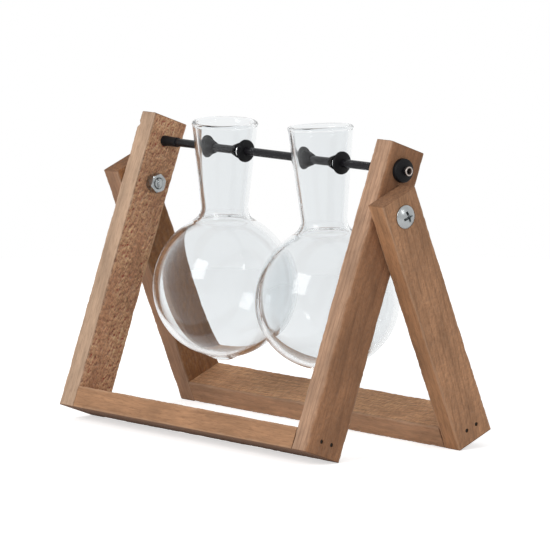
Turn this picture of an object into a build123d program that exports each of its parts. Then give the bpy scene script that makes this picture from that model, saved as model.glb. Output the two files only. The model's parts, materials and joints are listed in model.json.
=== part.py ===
"""Propagation vase: two blown-glass bulbs on a rod, hung in a folding wooden stand.

Millimetres. +X runs along the rod, -Y is the front, +Z is up. The origin is on the
ground, in the middle of the stand's footprint.
"""

import os
from math import acos, atan, cos, degrees, radians, sin, sqrt, tan
from typing import NamedTuple

from build123d import *

# Wooden bars: legs and rails are cut from one strip
bar_thickness = 11.3
bar_depth = 22.7
bar_edge_round = 0.5
bar_end_ease = 0.3
rail_height = 11.4

# Front frame: two legs and a rail, leaning back
front_leg_length = 157.8
front_rail_length = 171.7
front_lean_deg = 20.4
rod_below_top = 12.0
pivot_below_front_top = 34.6

# Rear frame: outside the front legs, leaning forward
rear_lean_deg = 22.39
leg_gap = 0.3
pivot_below_rear_top = 10.8

# Fits, and how far a cut runs past the piece
running_gap = 0.05
seat_gap = 0.02
cut_overrun = 1.0

# Steel tube that the vases hang on, with flared ends
rod_radius = 2.1
rod_bore_radius = 1.3
rod_end_proud = 5.7
rod_flare_length = 1.6
rod_flare_radius = 2.35
rod_mouth_radius = 1.65
rod_end_ease = 0.2

# Rubber bushings in the tops of the front legs
bushing_flange_radius = 6.0
bushing_thickness = 3.2
bushing_rim = 2.2
bushing_barrel_radius = 2.8
bushing_taper_length = 4.5
bushing_sleeve_radius = 2.5
bushing_sleeve_length = 10.8

# Pivot screws, truss head with a cross recess
screw_radius = 2.5
screw_head_radius = 5.9
screw_head_height = 2.8
screw_head_rim = 0.5
screw_end_proud = 0.9
screw_end_dome = 0.8
recess_arm_length = 5.6
recess_arm_width = 1.15
recess_depth = 1.9
recess_turn_deg = 24.0

# Hexagon nuts on the inner faces of the front legs
nut_across_flats = 8.9
nut_thickness = 4.7
nut_turn_deg = 12.0
nut_chamfer_deg = 30.0
nut_countersink = 0.55

# Wire nails that hold each rail between its legs
nail_radius = 0.7
nail_length = 24.0
nail_head_radius = 1.05
nail_head_thickness = 0.8
nail_sunk = 0.5
nail_pitch = 6.8
nail_above_foot = 7.2

# Glass walls, and the forms that both vases share
bulb_wall = 2.6
bulb_base_wall = 2.4
pontil_ball_radius = 14.0
pontil_blend = 3.0
neck_wall = 2.0
neck_root_round = 7.0
neck_throat_round = 8.0
rim_bead_radius = 1.25

# Left vase: its axis at the rod, its lean along the rod, and its own blown sizes
left_vase_x = -37.5
left_lean_deg = -0.6
left_bulb_below_rod = 71.2
left_bulb_radius = 36.5
left_lower_height = 36.2
left_shoulder_radius = 39.1
left_pontil_drop = 1.6
left_neck_base_radius = 11.5
left_rim_radius = 16.7
left_rim_above_rod = 13.9

# Right vase: the same sizes of the other bulb
right_vase_x = 37.6
right_lean_deg = 3.5
right_bulb_below_rod = 70.9
right_bulb_radius = 36.2
right_lower_height = 34.0
right_shoulder_radius = 39.5
right_pontil_drop = 2.2
right_neck_base_radius = 11.1
right_rim_radius = 16.3
right_rim_above_rod = 17.4

# Rubber grommets in the holes of the necks
glass_hole_radius = 3.8
grommet_flange_radius = 5.75
grommet_thickness = 2.1
grommet_rim = 0.9
grommet_barb_radius = 4.15
grommet_tip_radius = 2.75
grommet_nose_length = 4.2
grommet_wall_gap = 0.12

# Places along the rod
front_inner_x = front_rail_length / 2
front_outer_x = front_inner_x + bar_thickness
rear_inner_x = front_outer_x + leg_gap
rear_outer_x = rear_inner_x + bar_thickness

# Directions up a leg, and from its front face to its rear face
front_lean = radians(front_lean_deg)
front_up = Vector(0, sin(front_lean), cos(front_lean))
front_back = Vector(0, cos(front_lean), -sin(front_lean))

# The front feet stand on their rear edge
half_depth = bar_depth / 2
front_foot = front_back * -half_depth
pivot = front_foot + front_up * (front_leg_length - pivot_below_front_top)

# The rear feet stand on their front edge, and the rear legs are as long as that takes
rear_lean = radians(rear_lean_deg)
rear_reach = (pivot.Z - half_depth * sin(rear_lean)) / cos(rear_lean)
rear_leg_length = rear_reach + pivot_below_rear_top
rear_up = Vector(0, -sin(rear_lean), cos(rear_lean))
rear_back = Vector(0, cos(rear_lean), sin(rear_lean))
rear_foot = pivot - rear_up * rear_reach

# The origin moves to the middle of the footprint
toe_y = (front_foot - front_back * half_depth).Y
heel_y = (rear_foot + rear_back * half_depth).Y
to_origin = Vector(0, -(toe_y + heel_y) / 2, 0)
front_foot = front_foot + to_origin
rear_foot = rear_foot + to_origin
pivot = pivot + to_origin
rod_centre = front_foot + front_up * (front_leg_length - rod_below_top)

# Side planes of the frames: local x to the rear, local y up the leg, normal along +X
front_side = Plane(origin=front_foot, x_dir=front_back, z_dir=(1, 0, 0))
rear_side = Plane(origin=rear_foot, x_dir=rear_back, z_dir=(1, 0, 0))

screw_hole_radius = screw_radius + running_gap
bushing_hole_radius = bushing_barrel_radius + seat_gap
nail_hole_radius = nail_radius + seat_gap
nail_head_hole_radius = nail_head_radius + seat_gap
rod_hole_radius = rod_radius + running_gap
nail_places = [(-nail_pitch / 2, nail_above_foot), (nail_pitch / 2, nail_above_foot)]


def turning_plane(centre, side):
    """Plane through an axis along X: local x runs outwards on that side, local y is the radius."""
    return Plane(origin=centre, x_dir=(side, 0, 0), z_dir=(0, -side, 0))


def cross_plane(centre, x):
    """Plane square to the rod at x: local x is +Y, local y is +Z."""
    return Plane(origin=(x, centre.Y, centre.Z), x_dir=(0, 1, 0), z_dir=(1, 0, 0))


def dome_point(top_x, rim_x, edge_radius, radius):
    """Point of the ball cap that passes through an edge and is square to the axis at its top."""
    height = abs(top_x - rim_x)
    ball = (edge_radius**2 + height**2) / (2 * height)
    sink = ball - sqrt(ball**2 - radius**2)
    return (top_x - sink if top_x > rim_x else top_x + sink, radius)


def make_leg(label, side_plane, side, inner_x, length, up, holes):
    """A bar with round holes through its thickness and nail holes at its foot."""
    outer_x = inner_x + bar_thickness
    low_x = inner_x if side > 0 else -outer_x
    with BuildPart() as leg:
        with BuildSketch(side_plane.offset(low_x)):
            with Locations((0, length / 2)):
                Rectangle(bar_depth, length)
            for height, radius in holes:
                with Locations((0, height)):
                    Circle(radius, mode=Mode.SUBTRACT)
            with Locations(*nail_places):
                Circle(nail_hole_radius, mode=Mode.SUBTRACT)
        extrude(amount=bar_thickness)
        with BuildSketch(side_plane.offset(side * outer_x)):
            with Locations(*nail_places):
                Circle(nail_head_hole_radius)
        extrude(amount=-side * (nail_sunk + nail_head_thickness), mode=Mode.SUBTRACT)
        long_edges = leg.edges().filter_by(Axis((0, 0, 0), up)).group_by(SortBy.LENGTH)[-1]
        fillet(long_edges, bar_edge_round)
        top_face = leg.faces().filter_by(Axis((0, 0, 0), up)).sort_by(Axis.Z)[-1]
        chamfer(top_face.edges(), bar_end_ease)
    leg.part.label = label
    return leg


def make_rail(label, side_plane, length):
    """A bar between two legs, flush with their feet, drilled from both ends for the nails."""
    drilled = nail_sunk + nail_length - bar_thickness + seat_gap
    with BuildPart() as rail:
        with BuildSketch(side_plane) as section:
            with Locations((0, rail_height / 2)):
                Rectangle(bar_depth, rail_height)
            fillet(section.vertices(), bar_edge_round)
        extrude(amount=length / 2, both=True)
        for side in (-1, 1):
            with BuildSketch(side_plane.offset(side * length / 2)):
                with Locations(*nail_places):
                    Circle(nail_hole_radius)
            extrude(amount=-side * drilled, mode=Mode.SUBTRACT)
    rail.part.label = label
    return rail


def make_nails(label, side_plane, outer_x):
    """Four nails, two through each leg into the end of the rail."""
    head_x = outer_x - nail_sunk
    with BuildPart() as nails:
        for side in (-1, 1):
            with BuildSketch(side_plane.offset(side * head_x)):
                with Locations(*nail_places):
                    Circle(nail_head_radius)
            extrude(amount=-side * nail_head_thickness)
            with BuildSketch(side_plane.offset(side * head_x)):
                with Locations(*nail_places):
                    Circle(nail_radius)
            extrude(amount=-side * nail_length)
    nails.part.label = label
    return nails


def make_screw(label, side):
    """Truss-head screw, from the rear leg's outer face to just past the nut."""
    seat_x = rear_outer_x + running_gap
    rim_x = seat_x + screw_head_rim
    top_x = seat_x + screw_head_height
    end_x = front_inner_x - seat_gap - nut_thickness - screw_end_proud
    full_x = end_x + screw_end_dome
    with BuildPart() as screw:
        with BuildSketch(turning_plane(pivot, side)):
            with BuildLine():
                Line((top_x, 0), (end_x, 0))
                ThreePointArc(
                    (end_x, 0),
                    dome_point(end_x, full_x, screw_radius, screw_radius / 2),
                    (full_x, screw_radius),
                )
                Polyline(
                    (full_x, screw_radius),
                    (seat_x, screw_radius),
                    (seat_x, screw_head_radius),
                    (rim_x, screw_head_radius),
                )
                ThreePointArc(
                    (rim_x, screw_head_radius),
                    dome_point(top_x, rim_x, screw_head_radius, screw_head_radius / 2),
                    (top_x, 0),
                )
            make_face()
        revolve(axis=Axis(pivot, (1, 0, 0)))
        with BuildSketch(cross_plane(pivot, side * top_x)):
            Rectangle(recess_arm_length, recess_arm_width, rotation=recess_turn_deg)
            Rectangle(recess_arm_width, recess_arm_length, rotation=recess_turn_deg)
        extrude(amount=-side * recess_depth, mode=Mode.SUBTRACT)
    screw.part.label = label
    return screw


def make_nut(label, side):
    """Hexagon nut with both ends chamfered, against the front leg's inner face."""
    outer_x = front_inner_x - seat_gap
    inner_x = outer_x - nut_thickness
    flat_radius = nut_across_flats / 2
    corner_radius = flat_radius / cos(radians(30))
    chamfer_x = (corner_radius - flat_radius) * tan(radians(nut_chamfer_deg))
    bore = screw_radius + seat_gap
    with BuildPart() as nut:
        with BuildSketch(cross_plane(pivot, side * inner_x)):
            RegularPolygon(corner_radius, 6, rotation=nut_turn_deg)
        extrude(amount=side * nut_thickness)
        with BuildSketch(turning_plane(pivot, side)):
            Polygon(
                (inner_x, bore + nut_countersink),
                (inner_x, flat_radius),
                (inner_x + chamfer_x, corner_radius),
                (outer_x - chamfer_x, corner_radius),
                (outer_x, flat_radius),
                (outer_x, bore + nut_countersink),
                (outer_x - nut_countersink, bore),
                (inner_x + nut_countersink, bore),
                align=None,
            )
        revolve(axis=Axis(pivot, (1, 0, 0)), mode=Mode.INTERSECT)
    nut.part.label = label
    return nut


def make_bushing(label, side):
    """Rubber bushing: flange on the leg's outer face, barrel in the leg, sleeve past its inner face."""
    flange_x = front_outer_x + seat_gap
    rim_x = flange_x + bushing_rim
    top_x = flange_x + bushing_thickness
    taper_x = front_inner_x - bushing_taper_length
    sleeve_x = front_inner_x - bushing_sleeve_length
    mid_radius = (bushing_flange_radius + rod_hole_radius) / 2
    with BuildPart() as bushing:
        with BuildSketch(turning_plane(rod_centre, side)):
            with BuildLine():
                crown = ThreePointArc(
                    (rim_x, bushing_flange_radius),
                    dome_point(top_x, rim_x, bushing_flange_radius, mid_radius),
                    dome_point(top_x, rim_x, bushing_flange_radius, rod_hole_radius),
                )
                Polyline(
                    crown @ 1,
                    (sleeve_x, rod_hole_radius),
                    (sleeve_x, bushing_sleeve_radius),
                    (taper_x, bushing_sleeve_radius),
                    (front_inner_x, bushing_barrel_radius),
                    (flange_x, bushing_barrel_radius),
                    (flange_x, bushing_flange_radius),
                    crown @ 0,
                )
            make_face()
        revolve(axis=Axis(rod_centre, (1, 0, 0)))
    bushing.part.label = label
    return bushing


def make_rod(label):
    """Steel tube with flared ends, from past one bushing to past the other."""
    end_x = front_outer_x + rod_end_proud
    flare_x = end_x - rod_flare_length
    with BuildPart() as rod:
        with BuildSketch(turning_plane(rod_centre, 1)):
            Polygon(
                (0, rod_bore_radius),
                (flare_x, rod_bore_radius),
                (end_x, rod_mouth_radius),
                (end_x, rod_flare_radius - rod_end_ease),
                (end_x - rod_end_ease, rod_flare_radius),
                (flare_x + rod_flare_length / 2, rod_flare_radius),
                (flare_x, rod_radius),
                (0, rod_radius),
                align=None,
            )
        revolve(axis=Axis(rod_centre, (1, 0, 0)))
        mirror(about=Plane.YZ)
    rod.part.label = label
    return rod


class Vase(NamedTuple):
    """The sizes in which the two blown vases differ; heights are measured from the rod."""

    x: float
    lean_deg: float
    bulb_below_rod: float
    bulb_radius: float
    lower_height: float
    shoulder_radius: float
    pontil_drop: float
    neck_base_radius: float
    rim_radius: float
    rim_above_rod: float

    def neck_slope(self):
        """How much the neck's radius grows for each millimetre up its axis."""
        reach = self.shoulder_radius - self.bulb_radius + self.neck_base_radius
        base_y = sqrt(self.shoulder_radius**2 - reach**2) - self.bulb_below_rod
        return (self.rim_radius - self.neck_base_radius) / (self.rim_above_rod - base_y)


def half_section(vase, wall, base_wall, neck_skin, top_y, corner_round):
    """Bulb and neck from the axis outwards, inside the given walls, with the rod at y = 0."""
    bulb_y = -vase.bulb_below_rod
    radius = vase.bulb_radius - wall
    lower_height = vase.lower_height - base_wall
    shoulder = vase.shoulder_radius - wall
    shoulder_x = radius - shoulder
    neck_base = vase.neck_base_radius - neck_skin
    opening = degrees(acos((neck_base - shoulder_x) / shoulder))
    with BuildSketch() as section:
        with BuildLine():
            lower = EllipticalCenterArc((0, bulb_y), radius, lower_height, 270, arc_size=90)
            upper = CenterArc((shoulder_x, bulb_y), shoulder, 0, opening)
            Polyline(upper @ 1, (vase.rim_radius - neck_skin, top_y), (0, top_y), lower @ 0)
        make_face()
        corner = section.vertices().sort_by_distance(upper @ 1)[0]
        fillet(corner, corner_round)
    return section.sketch


def make_vase(label, vase):
    """Blown bulb with a flared neck, a beaded rim, a drop at its base and a hole on each side."""
    lean = radians(vase.lean_deg)
    plane = Plane(
        origin=(vase.x, rod_centre.Y, rod_centre.Z),
        x_dir=(cos(lean), 0, sin(lean)),
        z_dir=(0, -1, 0),
    )
    bead_y = vase.rim_above_rod - rim_bead_radius
    bulb_bottom = vase.bulb_below_rod + vase.lower_height
    pontil_y = pontil_ball_radius - vase.pontil_drop - bulb_bottom
    outside = half_section(vase, 0, 0, 0, bead_y, neck_root_round)
    mouth_y = vase.rim_above_rod + cut_overrun
    inside = half_section(vase, bulb_wall, bulb_base_wall, neck_wall, mouth_y, neck_throat_round)
    with BuildPart() as glass:
        with BuildSketch(plane) as wall:
            add(outside)
            with Locations((0, pontil_y)):
                Circle(pontil_ball_radius)
            with Locations((vase.rim_radius - neck_wall / 2, bead_y)):
                Circle(rim_bead_radius)
            add(inside, mode=Mode.SUBTRACT)
            with Locations((0, -vase.bulb_below_rod)):
                Rectangle(
                    2 * vase.bulb_radius,
                    4 * vase.bulb_radius,
                    align=(Align.MAX, Align.CENTER),
                    mode=Mode.SUBTRACT,
                )
            lowest = wall.vertices().group_by(Axis.Y)[1]
            fillet(lowest, pontil_blend)
        revolve(axis=Axis(plane.origin, plane.y_dir))
        with BuildSketch(cross_plane(rod_centre, vase.x)):
            Circle(glass_hole_radius)
        extrude(amount=vase.rim_radius + cut_overrun, both=True, mode=Mode.SUBTRACT)
    glass.part.label = label
    return glass


def make_grommet(label, vase, side):
    """Rubber grommet: flange on the neck, barrel in the glass, barbed nose inside it."""
    slope = vase.neck_slope()
    neck_radius = vase.rim_radius - slope * vase.rim_above_rod
    lean = radians(vase.lean_deg)
    wall_x = neck_radius / (cos(lean) + side * slope * sin(lean))
    inner_x = (neck_radius - neck_wall) / (cos(lean) + side * slope * sin(lean))
    cup = tan(atan(slope) - side * lean)
    barrel_radius = glass_hole_radius - running_gap
    flange_x = wall_x + grommet_wall_gap + cup * barrel_radius
    rim_inner_x = wall_x + grommet_wall_gap + cup * grommet_flange_radius
    rim_x = rim_inner_x + grommet_rim
    top_x = flange_x + grommet_thickness
    inner_sag = inner_x - sqrt(inner_x**2 - grommet_barb_radius**2)
    barb_x = inner_x - inner_sag - cup * grommet_barb_radius - grommet_wall_gap
    tip_x = barb_x - grommet_nose_length
    mid_radius = (grommet_flange_radius + rod_hole_radius) / 2
    with BuildPart() as grommet:
        with BuildSketch(turning_plane(rod_centre + Vector(vase.x, 0, 0), side)):
            with BuildLine():
                crown = ThreePointArc(
                    (rim_x, grommet_flange_radius),
                    dome_point(top_x, rim_x, grommet_flange_radius, mid_radius),
                    dome_point(top_x, rim_x, grommet_flange_radius, rod_hole_radius),
                )
                Polyline(
                    crown @ 1,
                    (tip_x, rod_hole_radius),
                    (tip_x, grommet_tip_radius),
                    (barb_x, grommet_barb_radius),
                    (barb_x, barrel_radius),
                    (flange_x, barrel_radius),
                    (rim_inner_x, grommet_flange_radius),
                    crown @ 0,
                )
            make_face()
        revolve(axis=Axis(rod_centre, (1, 0, 0)))
    grommet.part.label = label
    return grommet


front_holes = [
    (front_leg_length - rod_below_top, bushing_hole_radius),
    (front_leg_length - pivot_below_front_top, screw_hole_radius),
]
rear_holes = [(rear_reach, screw_hole_radius)]
sides = {"left": -1, "right": 1}
vases = {
    "left": Vase(
        left_vase_x,
        left_lean_deg,
        left_bulb_below_rod,
        left_bulb_radius,
        left_lower_height,
        left_shoulder_radius,
        left_pontil_drop,
        left_neck_base_radius,
        left_rim_radius,
        left_rim_above_rod,
    ),
    "right": Vase(
        right_vase_x,
        right_lean_deg,
        right_bulb_below_rod,
        right_bulb_radius,
        right_lower_height,
        right_shoulder_radius,
        right_pontil_drop,
        right_neck_base_radius,
        right_rim_radius,
        right_rim_above_rod,
    ),
}

pieces = [
    make_rail("front_rail", front_side, front_rail_length),
    make_rail("rear_rail", rear_side, 2 * rear_inner_x),
    make_nails("front_nails", front_side, front_outer_x),
    make_nails("rear_nails", rear_side, rear_outer_x),
    make_rod("hanging_rod"),
]
for name, side in sides.items():
    pieces += [
        make_leg(
            f"front_{name}_leg", front_side, side, front_inner_x, front_leg_length, front_up, front_holes
        ),
        make_leg(
            f"rear_{name}_leg", rear_side, side, rear_inner_x, rear_leg_length, rear_up, rear_holes
        ),
        make_bushing(f"rod_bushing_{name}", side),
        make_screw(f"pivot_screw_{name}", side),
        make_nut(f"pivot_nut_{name}", side),
        make_vase(f"{name}_vase", vases[name]),
        make_grommet(f"{name}_vase_grommet_left", vases[name], -1),
        make_grommet(f"{name}_vase_grommet_right", vases[name], 1),
    ]

os.makedirs("parts", exist_ok=True)
for piece in pieces:
    export_step(piece.part, f"parts/{piece.part.label}.step")
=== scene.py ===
import json
from math import acos, asin, atan, cos, hypot, pi, radians, sin, sqrt, tan
from typing import NamedTuple

import bmesh
import bpy
from bpy.props import FloatProperty, FloatVectorProperty, PointerProperty
from bpy.types import Operator, Panel, PropertyGroup
from mathutils import Matrix, Vector, noise


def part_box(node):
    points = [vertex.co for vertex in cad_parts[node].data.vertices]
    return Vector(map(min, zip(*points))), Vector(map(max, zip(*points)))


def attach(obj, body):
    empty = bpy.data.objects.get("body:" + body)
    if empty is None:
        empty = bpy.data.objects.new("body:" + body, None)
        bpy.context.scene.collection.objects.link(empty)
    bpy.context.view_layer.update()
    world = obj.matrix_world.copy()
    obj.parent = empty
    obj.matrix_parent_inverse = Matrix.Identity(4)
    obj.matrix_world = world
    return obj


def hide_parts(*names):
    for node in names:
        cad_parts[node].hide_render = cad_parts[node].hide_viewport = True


bl_info = {
    "name": "Propagation vase",
    "version": (1, 0, 0),
    "blender": (4, 5, 0),
    "location": "3D View > Sidebar > Propagation vase",
    "description": "Builds two glass bulbs on a rod in a folding wooden stand",
    "category": "Add Mesh",
}

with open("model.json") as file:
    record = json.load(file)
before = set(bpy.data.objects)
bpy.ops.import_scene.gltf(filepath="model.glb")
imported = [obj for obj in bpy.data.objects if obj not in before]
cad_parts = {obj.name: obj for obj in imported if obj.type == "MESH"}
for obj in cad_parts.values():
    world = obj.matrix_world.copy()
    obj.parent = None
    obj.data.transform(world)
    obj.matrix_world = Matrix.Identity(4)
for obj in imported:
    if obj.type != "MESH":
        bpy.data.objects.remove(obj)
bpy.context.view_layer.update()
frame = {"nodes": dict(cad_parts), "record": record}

MM = 0.001
LEFT, RIGHT = -1, 1
SIDES = {"left": LEFT, "right": RIGHT}


def middle(node):
    """Centre of a CAD node's box, in metres."""
    low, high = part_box(node)
    return (low + high) / 2


def linear(hex_colour):
    """sRGB hex colour as linear red, green and blue."""
    parts = [int(hex_colour[i : i + 2], 16) / 255 for i in (1, 3, 5)]
    return tuple(c / 12.92 if c <= 0.04045 else ((c + 0.055) / 1.055) ** 2.4 for c in parts)


# Axes of the turning parts, read from the frame
ROD = middle("hanging_rod")
PIVOT = middle("pivot_screw_left")
PIVOT.x = 0


# Settings


def in_mm(name, description, size):
    """A length that a user may change."""
    return FloatProperty(name=name, description=description, default=size * MM, unit="LENGTH")


def light(name, description, level):
    """A strength of light that a user may change."""
    return FloatProperty(name=name, description=description, default=level)


def in_hex(name, description, colour):
    """A colour that a user may change."""
    return FloatVectorProperty(
        name=name, description=description, subtype="COLOR", default=linear(colour), min=0, max=1
    )


class StandSettings(PropertyGroup):
    """Sizes of the wooden bars."""

    width: in_mm("Bar width", "Narrow side of a bar", 11.3)
    depth: in_mm("Bar depth", "Broad side of a bar", 22.7)
    front_length: in_mm("Front leg", "Length of a front leg", 157.8)
    rear_length: in_mm("Rear leg", "Length of a rear leg", 135.29)
    rail_height: in_mm("Rail height", "Height of a rail", 11.4)
    edge_round: in_mm("Edge round", "Radius of a bar's long edges", 0.5)
    end_ease: in_mm("End ease", "Bevel of a bar's sawn ends", 0.3)
    edge_wear: in_mm("Edge wear", "Deepest wear of a bar's edges", 0.3)
    face_wave: in_mm("Saw waves", "Deepest hollow that the saw left", 0.08)


class VaseSettings(PropertyGroup):
    """Walls and rounds of the blown glass."""

    bulb_wall: in_mm("Bulb wall", "Thickness of a bulb's wall", 2.6)
    base_wall: in_mm("Base wall", "Thickness of a bulb's base", 2.4)
    neck_wall: in_mm("Neck wall", "Thickness of a neck's wall", 2)
    root_round: in_mm("Root round", "Outer radius between neck and bulb", 7)
    throat_round: in_mm("Throat round", "Inner radius between neck and bulb", 10)
    bead: in_mm("Rim bead", "Radius of the melted bead of a rim", 1.25)


class FinishSettings(PropertyGroup):
    """Colours of the materials."""

    # On lifted fibres the planed tone is partly painted highlight
    planed: in_hex("Planed wood", "Edges and lifted fibres, rubbed pale", "#CDAE94")
    # The dark grain tone also paints the shade on the side of a bar that stands on the ground
    heart: in_hex("Dark grain", "Late wood, pores and end grain", "#6B4A33")
    glass: in_hex("Glass", "Tint of the clear glass", "#F2F4F5")
    zinc: in_hex("Zinc plate", "Bright plating of screws and nuts", "#B2B6B7")
    rubber: in_hex("Rubber", "Black rubber of grommets and bushings", "#0D0D0F")
    rod: in_hex("Rod paint", "Black paint of the rod", "#100F12")


class StageSettings(PropertyGroup):
    """Floor, lamps and camera."""

    floor: in_hex("Floor", "Colour of the floor", "#FBFBFB")
    key_level: light("Key light", "Light of the softbox on a face turned to it", 0.46)
    side_level: light("Side light", "Light of the strip lamp on a face turned to it", 0.1)
    fill_level: light("Fill light", "Light from all round", 0.5)
    floor_glow: light("Floor glow", "What the floor adds where camera, gloss or glass sees it", 0.38)
    shadow_fade: light("Shadow fade", "What it adds besides where the camera sees it", 0.2)
    lens: in_mm("Lens", "Focal length of the camera", 322.43)


class PropagationVaseSettings(PropertyGroup):
    """All that a user may change."""

    stand: PointerProperty(type=StandSettings, name="Stand", description="Wooden bars")
    vase: PointerProperty(type=VaseSettings, name="Vases", description="Blown glass")
    finish: PointerProperty(type=FinishSettings, name="Finishes", description="Colours")
    stage: PointerProperty(type=StageSettings, name="Stage", description="Floor, lamps and camera")


# Tools


def in_scene(name, data):
    """Adds an object to the scene."""
    made = bpy.data.objects.new(name, data)
    bpy.context.scene.collection.objects.link(made)
    return made


def mesh_of(name, bm):
    """Turns a bmesh into a mesh. The bmesh is used up."""
    mesh = bpy.data.meshes.new(name)
    bm.to_mesh(mesh)
    bm.free()
    return mesh


def finished(name, bm, node, slot, *materials, sharp=radians(35)):
    """Makes a mesh a finished piece that stands for a CAD node and rides on its body."""
    mesh = mesh_of(name, bm)
    mesh.shade_smooth()
    mesh.set_sharp_from_angle(angle=sharp)
    for material in materials:
        mesh.materials.append(material)
    piece = in_scene(name, mesh)
    body = next(b for b, nodes in frame["record"]["behaviour"]["bodies"].items() if node in nodes)
    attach(piece, body)
    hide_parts(node)


def carved(bm, cutter, operation="DIFFERENCE"):
    """Cuts one mesh with another and returns the result. Both meshes are used up."""
    objects = [in_scene("carving", mesh_of("carving", part)) for part in (bm, cutter)]
    cut = objects[0].modifiers.new("cut", "BOOLEAN")
    cut.operation, cut.solver, cut.object = operation, "EXACT", objects[1]
    seen = objects[0].evaluated_get(bpy.context.evaluated_depsgraph_get())
    result = bpy.data.meshes.new_from_object(seen)
    out = bmesh.new()
    out.from_mesh(result)
    for mesh in [result] + [o.data for o in objects]:
        bpy.data.meshes.remove(mesh)
    if not out.faces:
        raise RuntimeError("a cut left nothing")
    return out


def chain(bm, points):
    """Adds a run of edges through points of the section: height along Z, radius along X, in mm."""
    verts = [bm.verts.new((radius * MM, 0, height * MM)) for height, radius in points]
    for a, b in zip(verts, verts[1:]):
        bm.edges.new((a, b))
    return verts


def bevelled(bm, geom, offset, segments, affect="EDGES"):
    """Rounds edges or corners."""
    bmesh.ops.bevel(
        bm, geom=geom, offset=offset, segments=segments, affect=affect, profile=0.5, material=-1
    )


def rounded(bm, corners, segments=4):
    """Rounds corners of a section. Corners are pairs of a vertex and its distance in mm."""
    for corner, size in corners:
        bevelled(bm, [corner], size * MM, segments, "VERTICES")


def moved(bm, matrix):
    """Moves the whole of a mesh."""
    bmesh.ops.transform(bm, matrix=matrix, verts=bm.verts[:])


def welded(bm, gap=0.002 * MM):
    """Merges points that lie on each other."""
    bmesh.ops.remove_doubles(bm, verts=bm.verts[:], dist=gap)


def turned(bm, steps):
    """Spins a closed section about Z into a shell with its faces outwards."""
    whole = {"geom": bm.verts[:] + bm.edges[:], "angle": 2 * pi, "steps": steps, "use_merge": True}
    bmesh.ops.spin(bm, axis=(0, 0, 1), cent=(0, 0, 0), **whole)
    welded(bm)
    bmesh.ops.recalc_face_normals(bm, faces=bm.faces[:])


def laid_on_rod(bm, x, side, centre):
    """Turns a part made along Z so that it points outwards along the rod, from the plane at x."""
    turn = Matrix.Rotation(side * pi / 2, 4, "Y")
    moved(bm, Matrix.Translation((x, centre.y, centre.z)) @ turn)


# Materials


def add_node(tree, kind, sockets, **settings):
    """Adds a node. A socket given another node's socket is linked, any other value is set."""
    node = tree.nodes.new("ShaderNode" + kind)
    for key, value in settings.items():
        setattr(node, key, value)
    for key, value in sockets.items():
        if isinstance(value, bpy.types.NodeSocket):
            tree.links.new(value, node.inputs[key])
        else:
            node.inputs[key].default_value = value
    return node


def new_material(name, constants):
    """A material with a surface shader on its output. Constants are set on the shader's sockets."""
    material = bpy.data.materials.new(name)
    material.use_nodes = True
    tree = material.node_tree
    tree.nodes.clear()
    shader = add_node(tree, "BsdfPrincipled", constants)
    add_node(tree, "OutputMaterial", {"Surface": shader.outputs[0]})
    return material, tree, shader


def varied(tree, shader, source, rough):
    """Lets a noise vary a shader's roughness from one value to another."""
    span = {"From Min": 0.3, "From Max": 0.7, "To Min": rough[0], "To Max": rough[1]}
    roughness = add_node(tree, "MapRange", {"Value": source, **span})
    tree.links.new(roughness.outputs[0], shader.inputs["Roughness"])


def embossed(tree, shader, height, strength, depth):
    """Gives a shader relief. Depth is in mm."""
    relief = add_node(tree, "Bump", {"Strength": strength, "Distance": depth * MM, "Height": height})
    tree.links.new(relief.outputs[0], shader.inputs["Normal"])


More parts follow.
